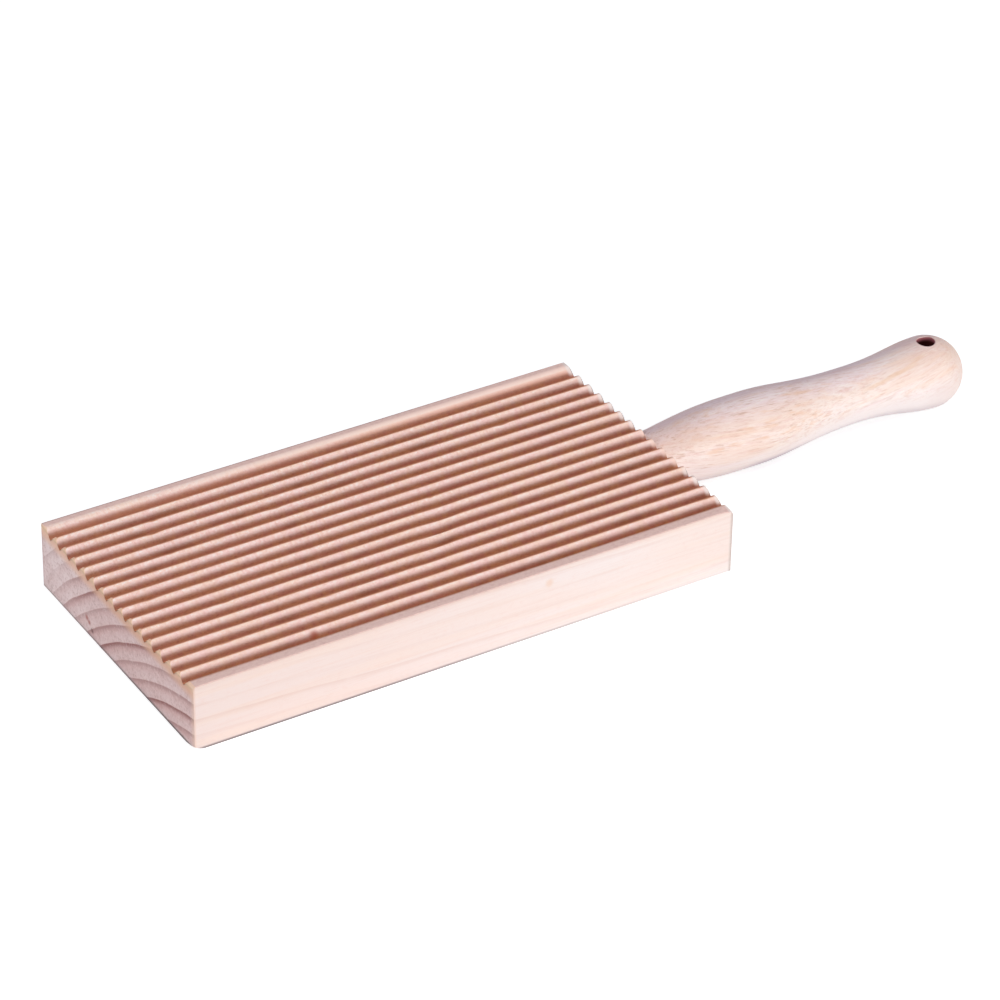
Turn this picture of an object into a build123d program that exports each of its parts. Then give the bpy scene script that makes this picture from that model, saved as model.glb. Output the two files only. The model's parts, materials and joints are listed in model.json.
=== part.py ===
from build123d import *
import math
import os

# Gnocchi board: a ridged softwood plank with a turned hardwood handle dowelled and glued into its end.
# Millimetres. X runs along the grooves towards the handle, Y across the plank and Z up.
# The origin is under the middle of the whole length, on the plane of the plank's underside.

# Ridged plank
board_length = 200.0
board_width = 105.0
board_thickness = 24.5
long_edge_ease = 0.8
underside_ease = 1.0

# Grooves, as many as fit between a flat land of at least this width at each long edge
land_width = 3.0
groove_pitch = 6.55
groove_depth = 2.8
groove_floor_radius = 0.9
ridge_crest_radius = 1.0

# Eased top edge at the handle end
end_ease_run = 2.2
end_ease_drop = 2.4
end_ease_radius = 3.2

# Turned handle
handle_length = 128.0
handle_axis_height = 13.6
root_radius = 9.7
belly_radius = 12.95
neck_radius = 10.05
bulb_radius = 13.1

# Where the handle is widest, narrowest and widest again, as shares of its length from the plank's end face
belly_share = 0.32
neck_share = 0.647
bulb_share = 0.9

# How far the outline's curve handles reach, as shares of the stretch that they shape
root_reach_share = 0.52
root_rise_share = 0.93
belly_back_share = 0.43
belly_on_share = 0.32
neck_back_share = 0.49
neck_on_share = 0.48
bulb_back_share = 0.32
dome_on_share = 0.40
dome_crown_share = 0.70

# Hanging hole through the bulb
hole_radius = 3.25
hole_to_tip = 13.7
hole_rim_ease = 0.35

# Hidden joint: a fluted dowel in a blind bore of the plank and one of the handle
dowel_radius = 5.0
dowel_length = 50.0
dowel_chamfer = 1.0
flute_count = 12
flute_radius = 0.7
flute_depth = 0.4
glue_clearance = 0.05
glue_pocket = 1.0
drill_point_angle = 118.0

# How far a cut runs past the surface that it opens
overrun = 5.0

# Places worked out from the sizes above
overall_length = board_length + handle_length
left_x = -overall_length / 2
joint_x = left_x + board_length
groove_count = math.floor((board_width - 2 * land_width) / groove_pitch)
belly_station = belly_share * handle_length
neck_station = neck_share * handle_length
bulb_station = bulb_share * handle_length
hole_x = joint_x + handle_length - hole_to_tip
bore_radius = dowel_radius + glue_clearance
bore_depth = dowel_length / 2 + glue_pocket


def flank_angle():
    """Angle of the straight flank that is tangent to a groove's round floor and a ridge's round crest."""
    half_pitch = groove_pitch / 2
    radii = groove_floor_radius + ridge_crest_radius
    reach = math.hypot(half_pitch, radii - groove_depth)
    return math.asin(radii / reach) - math.atan2(radii - groove_depth, half_pitch)


def groove_edges(centre_y):
    """One groove's outline from crest to crest, with its floor at centre_y."""
    angle = flank_angle()
    half_pitch = groove_pitch / 2
    crest_z = board_thickness
    floor_z = crest_z - groove_depth
    crest_run = ridge_crest_radius * math.sin(angle)
    crest_fall = ridge_crest_radius * (1 - math.cos(angle))
    floor_run = groove_floor_radius * math.sin(angle)
    floor_rise = groove_floor_radius * (1 - math.cos(angle))
    first_top = (centre_y - half_pitch, crest_z)
    first_shoulder = (centre_y - half_pitch + crest_run, crest_z - crest_fall)
    floor_start = (centre_y - floor_run, floor_z + floor_rise)
    floor_middle = (centre_y, floor_z)
    floor_end = (centre_y + floor_run, floor_z + floor_rise)
    last_shoulder = (centre_y + half_pitch - crest_run, crest_z - crest_fall)
    last_top = (centre_y + half_pitch, crest_z)
    return [
        TangentArc(first_top, first_shoulder, tangent=(1, 0)),
        Line(first_shoulder, floor_start),
        ThreePointArc(floor_start, floor_middle, floor_end),
        Line(floor_end, last_shoulder),
        TangentArc(last_top, last_shoulder, tangent=(-1, 0)),
    ]


def ridged_section():
    """The plank's cross-section in Y and Z, seen along X, with its lower long edges still square."""
    half_width = board_width / 2
    pattern_half = groove_count * groove_pitch / 2
    top_z = board_thickness
    edges = []
    for i in range(groove_count):
        edges += groove_edges((i - (groove_count - 1) / 2) * groove_pitch)
    far_top = (half_width - long_edge_ease, top_z)
    far_side = (half_width, top_z - long_edge_ease)
    near_top = (long_edge_ease - half_width, top_z)
    near_side = (-half_width, top_z - long_edge_ease)
    edges += [
        Line((pattern_half, top_z), far_top),
        TangentArc(far_top, far_side, tangent=(1, 0)),
        Line(far_side, (half_width, 0)),
        Line((half_width, 0), (-half_width, 0)),
        Line((-half_width, 0), near_side),
        TangentArc(near_top, near_side, tangent=(-1, 0)),
        Line(near_top, (-pattern_half, top_z)),
    ]
    return make_face(edges)


def end_ease_cutter():
    """What is sanded off the top edge at the handle end, as a bar across the plank."""
    start = (joint_x - end_ease_run, board_thickness)
    end = (joint_x, board_thickness - end_ease_drop)
    outline = [
        RadiusArc(start, end, end_ease_radius),
        Line(end, (joint_x + overrun, board_thickness - end_ease_drop)),
        Line(
            (joint_x + overrun, board_thickness - end_ease_drop),
            (joint_x + overrun, board_thickness + overrun),
        ),
        Line(
            (joint_x + overrun, board_thickness + overrun),
            (joint_x - end_ease_run, board_thickness + overrun),
        ),
        Line((joint_x - end_ease_run, board_thickness + overrun), start),
    ]
    return extrude(Plane.XZ * make_face(outline), board_width / 2 + overrun, both=True)


def dowel_bore(direction):
    """A drilled blind bore from the joint plane along X: direction 1 into the handle, -1 into the plank."""
    mouth = Location((joint_x, 0, handle_axis_height), (0, 90 * direction, 0))
    point_height = bore_radius / math.tan(math.radians(drill_point_angle / 2))
    up = (Align.CENTER, Align.CENTER, Align.MIN)
    shaft = Cylinder(bore_radius, bore_depth, align=up)
    lead_in = Pos(0, 0, -overrun) * Cylinder(bore_radius, overrun, align=up)
    point = Pos(0, 0, bore_depth) * Cone(bore_radius, 0, point_height, align=up)
    return mouth * (shaft + lead_in + point)


def ridged_board():
    """The plank: ridged on top, eased at its edges and bored in its end face for the dowel."""
    plank = Pos(left_x, 0, 0) * extrude(Plane.YZ * ridged_section(), board_length)
    plank -= end_ease_cutter()
    plank = fillet(plank.faces().sort_by(Axis.Z)[0].edges(), underside_ease)
    return plank - dowel_bore(-1)


def handle_outline():
    """Half of the handle's outline from its root to its tip, as distance along the axis and radius."""
    rise = belly_radius - root_radius
    swell = neck_station - belly_station
    waist = bulb_station - neck_station
    dome = handle_length - bulb_station
    return [
        Line((0, 0), (0, root_radius)),
        Bezier(
            (0, root_radius),
            (root_reach_share * belly_station, root_radius + root_rise_share * rise),
            (belly_station - belly_back_share * belly_station, belly_radius),
            (belly_station, belly_radius),
        ),
        Bezier(
            (belly_station, belly_radius),
            (belly_station + belly_on_share * swell, belly_radius),
            (neck_station - neck_back_share * swell, neck_radius),
            (neck_station, neck_radius),
        ),
        Bezier(
            (neck_station, neck_radius),
            (neck_station + neck_on_share * waist, neck_radius),
            (bulb_station - bulb_back_share * waist, bulb_radius),
            (bulb_station, bulb_radius),
        ),
        Bezier(
            (bulb_station, bulb_radius),
            (bulb_station + dome_on_share * dome, bulb_radius),
            (handle_length, dome_crown_share * bulb_radius),
            (handle_length, 0),
        ),
        Line((handle_length, 0), (0, 0)),
    ]


def handle():
    """The turned handle, with the hanging hole down through its bulb and the dowel's bore in its root."""
    turned = revolve(Plane.XY * make_face(handle_outline()), Axis.X)
    bored = Pos(joint_x, 0, handle_axis_height) * turned - dowel_bore(1)
    drill = Cylinder(hole_radius, 2 * (bulb_radius + overrun))
    bored -= Pos(hole_x, 0, handle_axis_height) * drill
    rims = bored.edges().filter_by(
        lambda edge: math.hypot(edge.center().X - hole_x, edge.center().Y) < hole_radius + hole_rim_ease
        and abs(edge.center().Z - handle_axis_height) > bulb_radius / 2
    )
    return fillet(rims, hole_rim_ease)


def joint_dowel():
    """The dowel that is glued into both bores: straight flutes let the glue and the air out."""
    pin = Cylinder(dowel_radius, dowel_length)
    pin = chamfer(pin.edges().filter_by(GeomType.CIRCLE), dowel_chamfer)
    flute = Cylinder(flute_radius, dowel_length + 2 * overrun)
    flute_centre = dowel_radius + flute_radius - flute_depth
    for place in PolarLocations(flute_centre, flute_count):
        pin -= place * flute
    return Location((joint_x, 0, handle_axis_height), (0, 90, 0)) * pin


os.makedirs("parts", exist_ok=True)
export_step(ridged_board(), "parts/ridged_board.step")
export_step(handle(), "parts/handle.step")
export_step(joint_dowel(), "parts/joint_dowel.step")
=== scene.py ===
import json
import math
from functools import cached_property, partialmethod
from types import SimpleNamespace
import bpy
import numpy as np
from mathutils import Matrix, Vector


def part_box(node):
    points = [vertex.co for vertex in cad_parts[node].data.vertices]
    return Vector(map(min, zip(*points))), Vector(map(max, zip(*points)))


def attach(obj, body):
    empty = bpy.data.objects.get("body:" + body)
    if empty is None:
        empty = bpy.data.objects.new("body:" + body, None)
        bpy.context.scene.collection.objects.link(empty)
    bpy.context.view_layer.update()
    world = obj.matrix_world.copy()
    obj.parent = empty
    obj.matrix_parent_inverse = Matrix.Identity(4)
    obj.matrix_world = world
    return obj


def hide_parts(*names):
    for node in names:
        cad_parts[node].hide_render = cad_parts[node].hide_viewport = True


# Gnocchi board: a ridged softwood plank and a turned hardwood handle, dowelled and glued end to end.
# Metres. X runs along the grooves towards the handle, Y across the plank and Z up.

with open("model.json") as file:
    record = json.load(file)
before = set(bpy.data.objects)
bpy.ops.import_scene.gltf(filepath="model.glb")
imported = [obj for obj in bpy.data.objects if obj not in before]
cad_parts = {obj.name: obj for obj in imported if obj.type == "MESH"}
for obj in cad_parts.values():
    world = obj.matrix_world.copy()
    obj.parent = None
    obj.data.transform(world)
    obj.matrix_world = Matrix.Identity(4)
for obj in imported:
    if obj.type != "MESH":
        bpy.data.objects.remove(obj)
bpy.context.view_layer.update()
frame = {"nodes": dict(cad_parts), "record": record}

MM = 0.001
ROOT = "root"

# Sizes from the frame
plank_low, plank_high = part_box("ridged_board")
LEFT_X = plank_low.x
JOINT_X = plank_high.x
HALF_WIDTH = plank_high.y
TOP_Z = plank_high.z
PLANK_LENGTH = JOINT_X - LEFT_X
HANDLE_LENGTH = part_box("handle")[1].x - JOINT_X
hole = {mount["name"]: mount for mount in frame["record"]["mounts"]}["hanging_hole"]
HOLE_X, _, AXIS_Z = hole["pos_m"]
HOLE_RADIUS = hole["dims"]["r_mm"] * MM

# Ridges and grooves
GROOVE_COUNT = 15
GROOVE_PITCH = 6.55 * MM
GROOVE_DEPTH = 2.8 * MM
GROOVE_FLOOR_RADIUS = 0.9 * MM
RIDGE_CREST_RADIUS = 1.0 * MM
PATTERN_HALF = GROOVE_COUNT * GROOVE_PITCH / 2

# Eased edges of the plank
FAR_EDGE_EASE = 0.2 * MM
NEAR_EDGE_EASE = 0.3 * MM
UNDERSIDE_EASE = 0.2 * MM
UPRIGHT_EASE = 0.4 * MM
FAR_UPRIGHT_EASE = 0.2 * MM
PLAIN_END_EASE = 1.3 * MM
FAR_CORNER_SHARE = 0.35
FAR_CORNER_FADE = 2 * MM
END_EASE_RUN = 1.9 * MM
END_EASE_DROP = 3.2 * MM
FAR_END_SHARE = 0.35
END_EASE_BLEND = 0.25 * MM

# Near top corner at the handle, sanded down further than the rest of that end
SAG_DEPTH = 1.5 * MM
SAG_RUN = 8 * MM
SAG_SPREAD = 5 * MM

# Near lower corner of the plain end, knocked round
CORNER_LIFT = 1.5 * MM
CORNER_RUN = 4.4 * MM
CORNER_SPREAD = 7.7 * MM
CORNER_HEIGHT = 5.0 * MM

# Inner edge of the far land, rubbed down towards its groove, most of all by the handle
SHOULDER_RUN = 1.0 * MM
SHOULDER_RUN_BY_HANDLE = 1.3 * MM
SHOULDER_BEND = 1.5 * MM
SHOULDER_CURVE = 0.5 / MM

# Small faults that the cutter and the wood leave
GROOVE_WANDER = 0.13 * MM
WANDER_RUN = 27 * MM
WANDER_SPREAD = 11 * MM
KINK_SHIFT = 0.6 * MM
KINK_X = LEFT_X + 0.545 * PLANK_LENGTH
KINK_LENGTH = 6 * MM
KINK_LEAN = 0.7
KINK_Y = -16.5 * MM
KINK_WIDTH = 14 * MM
CREST_UNEVENNESS = 0.14 * MM
CREST_WAVE = 55 * MM
CREST_RIPPLE = 4.5 * MM
NICK_COUNT = 26
NICK_DEPTH = 0.22 * MM
NICK_WIDTH = 0.7 * MM
NICK_SHORTEST = 0.8 * MM
NICK_LONGER_BY = 1.8 * MM

# Handle outline, as on the turned solid
ROOT_RADIUS = 9.7 * MM
BELLY_RADIUS = 12.95 * MM
NECK_RADIUS = 10.05 * MM
BULB_RADIUS = 12.95 * MM
BELLY_X = 0.32 * HANDLE_LENGTH
NECK_X = 0.647 * HANDLE_LENGTH
BULB_X = 0.9 * HANDLE_LENGTH
ROOT_EASE = 0.25 * MM
HOLE_RIM_EASE = 0.2 * MM
HOLE_PATCH = 1.5 * MM
SANDING_UNEVENNESS = 0.05 * MM
SANDING_WAVE = 16 * MM
SANDING_WAVES_AROUND = 1.6
SANDING_START = 8 * MM

# How far the handle has bent since it was turned: its neck up and its bulb down
NECK_RISE = 0.32 * MM
NECK_RISE_RUN = 16 * MM
BULB_DROP = 0.36 * MM
BULB_DROP_START = 96 * MM
BULB_DROP_END = 124 * MM

# Hidden joint
BORE_RADIUS = 5.05 * MM
BORE_DEPTH = 26 * MM
BORE_POINT = BORE_RADIUS / math.tan(math.radians(59))
BORE_BLOCK = 7.0 * MM
BORE_SHARES = (0, 0.05, 0.5, 1)

# Mesh lines. The underside keeps all those near an edge and then one a step
EASE_SHARES = np.array([0, 0.33, 0.59, 0.8, 1.0])
LINES_ALONG = 252
LINES_UP = 12
HANDLE_LINES = 96
UNDERSIDE_ROWS = (6 * MM, 8 * MM)
UNDERSIDE_COLUMNS = (8.5 * MM, 7 * MM)
NOISE_TABLE = 64


def smooth(share):
    """A share from 0 to 1 with soft ends."""
    return share * share * (3 - 2 * share)


def hump(offset, width):
    """1 in the middle and falling away softly on both sides."""
    return np.exp(-((offset / width) ** 2))


def grain_noise(seed, u, v):
    """Smooth seeded noise from -1 to 1 at two coordinates in wavelengths."""
    table = np.random.default_rng(seed).uniform(-1, 1, (NOISE_TABLE, NOISE_TABLE))
    u, v = np.broadcast_arrays(np.asarray(u, float), np.asarray(v, float))
    low_u = np.floor(u).astype(int)
    low_v = np.floor(v).astype(int)
    share_u = smooth(u - low_u)
    share_v = smooth(v - low_v)
    ends = []
    for row in (low_u % NOISE_TABLE, (low_u + 1) % NOISE_TABLE):
        first = table[row, low_v % NOISE_TABLE]
        second = table[row, (low_v + 1) % NOISE_TABLE]
        ends.append(first * (1 - share_v) + second * share_v)
    return ends[0] * (1 - share_u) + ends[1] * share_u


def add_object(name, data):
    """Puts a mesh, lamp or camera into the scene as an object."""
    made = bpy.data.objects.new(name, data)
    bpy.context.scene.collection.objects.link(made)
    return made


def make_piece(name, points, faces):
    """A smooth-shaded mesh piece from an array of points and lists of point numbers."""
    mesh = bpy.data.meshes.new(name)
    mesh.from_pydata([tuple(point) for point in points], [], [tuple(map(int, face)) for face in faces])
    mesh.polygons.foreach_set("use_smooth", [True] * len(mesh.polygons))
    mesh.validate()
    mesh.update()
    piece = add_object(name, mesh)
    even = piece.modifiers.new("even_normals", "WEIGHTED_NORMAL")
    even.keep_sharp = True
    return piece


# Section of the ridges


def flank_sizes():
    """Run and fall of the crest's arc, then run and rise of the floor's."""
    half = GROOVE_PITCH / 2
    radii = GROOVE_FLOOR_RADIUS + RIDGE_CREST_RADIUS
    reach = math.hypot(half, radii - GROOVE_DEPTH)
    angle = math.asin(radii / reach) - math.atan2(radii - GROOVE_DEPTH, half)
    run, fall = math.sin(angle), 1 - math.cos(angle)
    return [share * radius for radius in (RIDGE_CREST_RADIUS, GROOVE_FLOOR_RADIUS) for share in (run, fall)]


CREST_RUN, CREST_FALL, FLOOR_RUN, FLOOR_RISE = flank_sizes()


def depth_below_crest(along, across):
    """How deep the ridged surface lies below the crests at arrays of places."""
    half = GROOVE_PITCH / 2
    from_floor = np.abs((across + PATTERN_HALF) % GROOVE_PITCH - half)
    from_crest = half - from_floor
    floor_arc = np.sqrt(np.maximum(GROOVE_FLOOR_RADIUS**2 - np.minimum(from_floor, FLOOR_RUN) ** 2, 0))
    floor = GROOVE_DEPTH - GROOVE_FLOOR_RADIUS + floor_arc
    crest = RIDGE_CREST_RADIUS - np.sqrt(RIDGE_CREST_RADIUS**2 - np.minimum(from_crest, CREST_RUN) ** 2)
    slope = (GROOVE_DEPTH - CREST_FALL - FLOOR_RISE) / (half - CREST_RUN - FLOOR_RUN)
    flank = CREST_FALL + (from_crest - CREST_RUN) * slope
    depth = np.where(from_floor < FLOOR_RUN, floor, np.where(from_crest < CREST_RUN, crest, flank))
    depth = np.where(np.abs(across) < PATTERN_HALF, depth, 0)
    return np.maximum(depth, rubbed_shoulder(along, across))


def rubbed_shoulder(along, across):
    """How deep the far land's inner edge is rubbed down at arrays of places."""
    share = (along - LEFT_X) / PLANK_LENGTH
    run = SHOULDER_RUN + (SHOULDER_RUN_BY_HANDLE - SHOULDER_RUN) * share
    into = np.clip(PATTERN_HALF + run - across, 0, run + GROOVE_PITCH / 2)
    bent = np.minimum(into, SHOULDER_BEND)
    return np.where(across > PATTERN_HALF - GROOVE_PITCH / 2, SHOULDER_CURVE * bent * (into - bent / 2), 0)


def lines_across():
    """Places across the plank of the mesh lines, from its near edge."""
    half = GROOVE_PITCH / 2
    crest_part = CREST_RUN * np.array([0, 0.3, 0.55, 0.8, 1.0])
    flank_part = CREST_RUN + (half - CREST_RUN - FLOOR_RUN) * np.array([0.33, 0.67])
    floor_part = half - FLOOR_RUN * np.array([1.0, 0.7, 0.4, 0])
    near_side = np.concatenate([crest_part, flank_part, floor_part])
    groove = np.concatenate([near_side, GROOVE_PITCH - near_side[-2:0:-1]])
    grooves = np.concatenate([-PATTERN_HALF + i * GROOVE_PITCH + groove for i in range(GROOVE_COUNT)])
    near_land = edge_lines(-HALF_WIDTH, NEAR_EDGE_EASE, -PATTERN_HALF, 4)
    far_land = edge_lines(HALF_WIDTH, FAR_EDGE_EASE, PATTERN_HALF, 8)
    return np.concatenate([near_land[:-1], grooves, far_land[::-1]])


def edge_lines(edge, ease, inner, count):
    """Mesh lines from an edge inwards, closer together where it is eased."""
    inward = math.copysign(1, inner - edge)
    eased = edge + inward * ease * (1 - np.tan(np.radians([45, 33.75, 22.5, 11.25, 0])))
    rest = np.linspace(edge + inward * ease, inner, count + 1)[1:]
    return np.concatenate([eased, rest])


def lines_along():
    """Places along the plank of the mesh lines, from its plain end."""
    start = LEFT_X + PLAIN_END_EASE * (1 - np.cos(np.radians(np.arange(0, 91, 10))))
    last = JOINT_X - END_EASE_RUN * (1 - np.cos(np.radians(np.arange(90, -1, -9))))
    return np.concatenate([start[:-1], np.linspace(start[-1], last[0], LINES_ALONG)[:-1], last])


def shares_up():
    """Heights of the mesh lines on the plank's walls, as shares of the top's height there."""
    low = EASE_SHARES * UNDERSIDE_EASE / TOP_Z
    far = EASE_SHARES[:1:-1] * FAR_EDGE_EASE
    near = EASE_SHARES[::-1] * NEAR_EDGE_EASE
    high = 1 - np.concatenate([far, near]) / TOP_Z
    middle = np.linspace(low[-1], high[0], LINES_UP)[1:-1]
    return np.concatenate([low, middle, high])


def nicks():
    """Small chips broken out of the ridges' crests: place along, crest, length and depth."""
    rng = np.random.default_rng(11)
    for _ in range(NICK_COUNT):
        place = LEFT_X + PLANK_LENGTH * (0.02 + 0.96 * rng.random())
        crest = -PATTERN_HALF + GROOVE_PITCH * rng.integers(0, GROOVE_COUNT + 1)
        length = NICK_SHORTEST + NICK_LONGER_BY * rng.random()
        yield place, crest, length, NICK_DEPTH * (0.35 + 0.65 * rng.random())


def top_surface(along, across):
    """Height of the plank's top at arrays of places: ridges, their unevenness and the eased ends."""
    ridge = np.round((across + PATTERN_HALF) / GROOVE_PITCH)
    wander = GROOVE_WANDER * grain_noise(1, along / WANDER_RUN, across / WANDER_SPREAD)
    from_kink = along - KINK_X - KINK_LEAN * (across - KINK_Y)
    wander = wander + KINK_SHIFT * hump(from_kink, KINK_LENGTH) * hump(across - KINK_Y, KINK_WIDTH)
    inside = np.clip((PATTERN_HALF - np.abs(across)) / GROOVE_PITCH, 0, 1)
    depth = depth_below_crest(along, across + wander * inside)
    height = TOP_Z - depth
    crest = np.clip(1 - depth / (0.6 * GROOVE_DEPTH), 0, 1)
    low_crest = 0.5 + 0.5 * grain_noise(2, along / CREST_WAVE, ridge * 3.7)
    fine_crest = 0.5 + 0.5 * grain_noise(3, along / CREST_RIPPLE, ridge * 5.3)
    height = height - crest * inside * CREST_UNEVENNESS * (0.75 * low_crest + 0.25 * fine_crest)
    for place, line, length, deep in nicks():
        height = height - deep * hump(along - place, length) * hump(across - line, NICK_WIDTH)
    return meet_end_ease(along, across, height)


def eased_top(reach, run, drop):
    """Height of a rounding that lowers the top by drop, at a reach of up to run past its start."""
    share = np.clip(reach / run, -1, 1)
    before = TOP_Z + drop * share**2 / 2
    return np.where(share < 0, before, TOP_Z - drop * (1 - np.sqrt(1 - np.maximum(share, 0) ** 2)))


def end_roundings(along, across):
    """Height that the rounded ends leave, least at the near edge of the handle's end."""
    far_share = np.clip((across - PATTERN_HALF) / FAR_CORNER_FADE, 0, 1)
    plain_run = PLAIN_END_EASE * (1 - (1 - FAR_CORNER_SHARE) * far_share)
    plain = eased_top(LEFT_X + plain_run - along, plain_run, plain_run)
    size = 1 - (1 - FAR_END_SHARE) * np.clip((across + HALF_WIDTH) / (HALF_WIDTH / 2), 0, 1)
    run = END_EASE_RUN * size
    joined = eased_top(along - JOINT_X + run, run, END_EASE_DROP * size)
    sag_share = np.clip(1 - (JOINT_X - along) / SAG_RUN, 0, 1) ** 2
    sag_share = sag_share * np.clip(1 - (across + HALF_WIDTH) / SAG_SPREAD, 0, 1)
    sagged = TOP_Z + END_EASE_BLEND - (SAG_DEPTH + END_EASE_BLEND) * sag_share
    return np.minimum(np.minimum(plain, joined), sagged)


def meet_end_ease(along, across, height):
    """Lowers the top to the rounded ends, with a soft change where they meet the ridges."""
    rounding = end_roundings(along, across)
    share = np.clip(0.5 + 0.5 * (rounding - height) / END_EASE_BLEND, 0, 1)
    return height * share + rounding * (1 - share) - END_EASE_BLEND * share * (1 - share)


# Mesh of the plank


def side_quads(size, side):
    """Corner numbers along, across and up of the quads on one side of a block."""
    axis = {"left": 0, "right": 0, "near": 1, "far": 1, "top": 2}[side]
    first, second = [n for n in range(3) if n != axis]
    grid = np.stack(np.meshgrid(np.arange(size[first] - 1), np.arange(size[second] - 1), indexing="ij"), -1)
    grid = grid.reshape(-1, 2)
    steps = [(0, 0), (1, 0), (1, 1), (0, 1)]
    if side in ("left", "far"):
        steps = steps[::-1]
    quads = np.zeros((len(grid), 4, 3), int)
    for corner, step in enumerate(steps):
        quads[:, corner, first] = grid[:, 0] + step[0]
        quads[:, corner, second] = grid[:, 1] + step[1]
    if side in ("right", "far", "top"):
        quads[:, :, axis] = size[axis] - 1
    return quads


def round_edge(points, first, second, first_face, second_face, ease):
    """Rounds the edge where two faces meet. A face is a coordinate and the sign of its outward side."""
    place_a, sign_a = first_face
    place_b, sign_b = second_face
    u = 1 - (place_a - points[:, first]) * sign_a / ease
    w = 1 - (place_b - points[:, second]) * sign_b / ease
    near = (u > 0) & (w > 0)
    scale = np.where(near, np.maximum(u, w) / np.maximum(np.hypot(u, w), 1e-9), 1)
    points[:, first] = np.where(near, place_a - sign_a * (1 - u * scale) * ease, points[:, first])
    points[:, second] = np.where(near, place_b - sign_b * (1 - w * scale) * ease, points[:, second])


def knock_corner(points):
    """Lifts the underside towards the knocked corner of the plain end."""
    along = (points[:, 0] - LEFT_X) / CORNER_RUN
    across = (points[:, 1] + HALF_WIDTH) / CORNER_SPREAD
    share = np.clip(1 - np.hypot(along, across), 0, 1)
    fade = np.clip(1 - points[:, 2] / CORNER_HEIGHT, 0, 1)
    points[:, 2] += CORNER_LIFT * share**2 * fade


def ease_plank(points):
    """Rounds the long edges, the underside's edges and the upright corners."""
    near, far = (-HALF_WIDTH, -1), (HALF_WIDTH, 1)
    left, right = (LEFT_X, -1), (JOINT_X, 1)
    eased = np.minimum(end_roundings(points[:, 0], points[:, 1]), TOP_Z)
    top, bottom = (eased, 1), (0, -1)
    round_edge(points, 1, 2, far, top, FAR_EDGE_EASE)
    round_edge(points, 1, 2, near, top, NEAR_EDGE_EASE)
    for side in (near, far):
        round_edge(points, 1, 2, side, bottom, UNDERSIDE_EASE)
    for end in (left, right):
        round_edge(points, 0, 2, end, bottom, UNDERSIDE_EASE)
        round_edge(points, 0, 1, end, near, UPRIGHT_EASE)
        round_edge(points, 0, 1, end, far, FAR_UPRIGHT_EASE)
    knock_corner(points)


def coarse_lines(lines, close, step):
    """Numbers of the mesh lines that the underside keeps: all close to an edge, then some."""
    kept = [0]
    for number in range(1, len(lines)):
        from_edge = min(lines[number] - lines[0], lines[-1] - lines[number])
        if from_edge < close or lines[number] - lines[kept[-1]] > step:
            kept.append(number)
    return kept


def underside_faces(along, across):
    """Faces under the plank as lists of grid places. The outer ones take in the sides' lines."""
    rows = coarse_lines(along, *UNDERSIDE_ROWS)
    columns = coarse_lines(across, *UNDERSIDE_COLUMNS)
    faces = []
    for i0, i1 in zip(rows[:-1], rows[1:]):
        for j0, j1 in zip(columns[:-1], columns[1:]):
            low = [(i, j0) for i in (range(i0, i1) if j0 == 0 else [i0])]
            right = [(i1, j) for j in (range(j0, j1) if i1 == rows[-1] else [j0])]
            high = [(i, j1) for i in (range(i1, i0, -1) if j1 == columns[-1] else [i1])]
            left = [(i0, j) for j in (range(j1, j0, -1) if i0 == 0 else [j1])]
            faces.append((low + right + high + left)[::-1])
    return faces


def ring_faces(first, second):
    """Quads that join two closed rings with the same number of points."""
    after = np.roll(np.arange(len(first)), -1)
    return [(first[i], first[after[i]], second[after[i]], second[i]) for i in range(len(first))]


def block_ring(first_range, second_range):
    """The grid places round a block of cells, in order, as pairs."""
    low_a, high_a = first_range
    low_b, high_b = second_range
    ring = [(a, low_b) for a in range(low_a, high_a)]
    ring += [(high_a, b) for b in range(low_b, high_b)]
    ring += [(a, high_b) for a in range(high_a, low_a, -1)]
    ring += [(low_a, b) for b in range(high_b, low_b, -1)]
    return ring


def bore_plank_end(points, faces, ring):
    """Adds the dowel's bore inside a ring of points on the plank's end face."""
    centre = np.array([JOINT_X, 0, AXIS_Z])
    offset = points[ring] - centre
    turn = np.arctan2(offset[:, 2], offset[:, 1])
    around = np.stack([np.zeros(len(turn)), np.cos(turn), np.sin(turn)], -1)
    rings = [np.asarray(ring)]
    new_points = []
    count = len(points)
    for depth in BORE_SHARES:
        new_points.append(centre + around * BORE_RADIUS - np.array([BORE_DEPTH * depth, 0, 0]))
        rings.append(np.arange(count, count + len(ring)))
        count += len(ring)
    new_points.append(centre[None] - np.array([[BORE_DEPTH + BORE_POINT, 0, 0]]))
    for outer, inner in zip(rings[:-1], rings[1:]):
        faces += ring_faces(outer, inner)
    last = rings[-1]
    faces += [(last[i], last[(i + 1) % len(last)], count) for i in range(len(last))]
    return np.concatenate([points, *new_points])


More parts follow.
